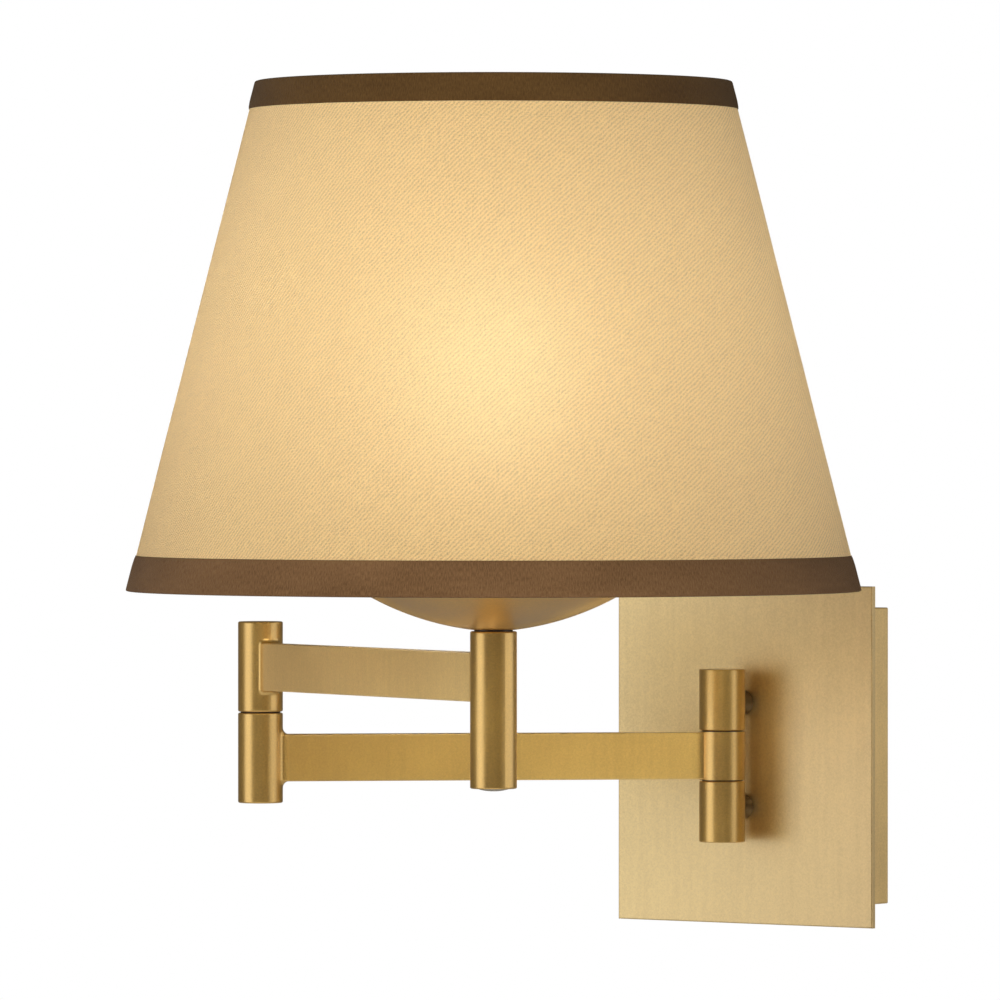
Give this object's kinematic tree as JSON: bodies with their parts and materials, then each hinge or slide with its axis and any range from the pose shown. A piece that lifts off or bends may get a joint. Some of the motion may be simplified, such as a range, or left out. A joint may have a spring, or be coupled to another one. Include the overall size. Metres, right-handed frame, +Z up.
{
  "type": "swing arm wall sconce",
  "caption": "Wall light whose tapered fabric shade is carried on a two-part swing arm, hinged to a rectangular plate, with a push-button switch in the foot of its stem.",
  "frame": {"origin": "centre of the wall bracket's back face, on the wall surface", "axes": "+Z up, +Y into the wall, -Y out into the room, +X to the right as one faces the wall"},
  "size_m": [0.2895, 0.347, 0.3009],
  "materials": {
    "satin_brass": "satin brushed, lacquered",
    "plate_brass": "satin, finely brushed sheet",
    "bare_brass": "machined",
    "zinc_steel": "zinc plated",
    "tinned_copper": "tinned",
    "earth_green_screw": "green dyed zinc",
    "nylon": "black nylon",
    "wire_nut_plastic": "moulded thermoplastic",
    "lead_black": "insulated stranded lead",
    "lead_white": "insulated stranded lead",
    "lead_green": "insulated stranded lead",
    "black_phenolic": "moulded phenolic",
    "fibre_board": "vulcanised fibre sleeve",
    "bright_aluminium": "rolled thread",
    "bulb_glass": "etched inside",
    "lit_filament": "lit",
    "linen_fabric": "linen twill weave",
    "shade_liner_white": "styrene sheet",
    "brown_ribbon": "grosgrain ribbon",
    "white_wire": "enamelled wire",
    "silver_button": "satin nickel"
  },
  "bodies": {
    "wall_mount": {"front_plate": "plate_brass", "back_pan": "plate_brass", "wall_bracket": "zinc_steel", "pan_side_screws": "satin_brass", "ground_screw": "earth_green_screw", "hinge_knuckle_top": "satin_brass", "hinge_knuckle_bottom": "satin_brass", "hinge_standoffs": "satin_brass", "stud_washers": "zinc_steel", "stud_nuts": "zinc_steel", "stud_lock_washer": "zinc_steel", "earth_lug": "tinned_copper", "hinge_pivot": "bare_brass", "hinge_bottom_plug": "satin_brass", "hinge_washers": "bare_brass", "wire_nuts": "wire_nut_plastic", "wall_leads": "lead_black", "earth_lead": "lead_green"},
    "lower_arm": {"lower_arm": "satin_brass", "elbow_bottom_cap": "satin_brass", "lower_arm_leads": "lead_black", "elbow_washer": "nylon"},
    "upper_arm": {"upper_arm": "satin_brass", "elbow_pivot": "bare_brass", "elbow_nut": "bare_brass", "elbow_spring_washer": "zinc_steel", "upper_arm_leads": "lead_black", "switch_lead": "lead_white", "stem_nipple": "zinc_steel", "dish_spacer": "black_phenolic", "shade_dish": "satin_brass", "dish_nut": "zinc_steel", "holder_cap": "bare_brass", "holder_body": "black_phenolic", "terminal_screws": "zinc_steel", "holder_shell": "bare_brass", "holder_liner": "fibre_board", "screw_shell": "bright_aluminium", "centre_contact": "bare_brass", "bulb_tip": "zinc_steel", "bulb_insulator": "black_phenolic", "bulb_cap": "bright_aluminium", "bulb_envelope": "bulb_glass", "bulb_filament": "lit_filament", "shade_fabric": "linen_fabric", "shade_liner": "shade_liner_white", "bottom_trim": "brown_ribbon", "top_trim": "brown_ribbon", "shade_bottom_ring": "white_wire", "shade_top_ring": "white_wire", "shade_spider": "bare_brass", "shade_ring_nut": "bare_brass", "switch_bezel": "satin_brass", "switch_body": "black_phenolic", "switch_spring": "zinc_steel"},
    "switch_button": {"push_button": "silver_button"}
  },
  "joints": [
    {"name": "wall_swing", "type": "hinge", "parent": "wall_mount", "child": "lower_arm", "pos_m": [0, -0.035, 0], "axis": [0, 0, 1], "range_deg": [-43.5, 136.5]},
    {"name": "elbow_swing", "type": "hinge", "parent": "lower_arm", "child": "upper_arm", "pos_m": [-0.12259, -0.15133, 0.0165], "axis": [0, 0, 1], "range_deg": [-257.5, 32.5]},
    {"name": "switch_press", "type": "slide", "parent": "upper_arm", "child": "switch_button", "axis": [0, 0, 1], "range_m": [0, 0.002], "stiffness_N_per_m": 600, "springref_m": -0.003, "deforming": ["switch_spring"]}
  ]
}
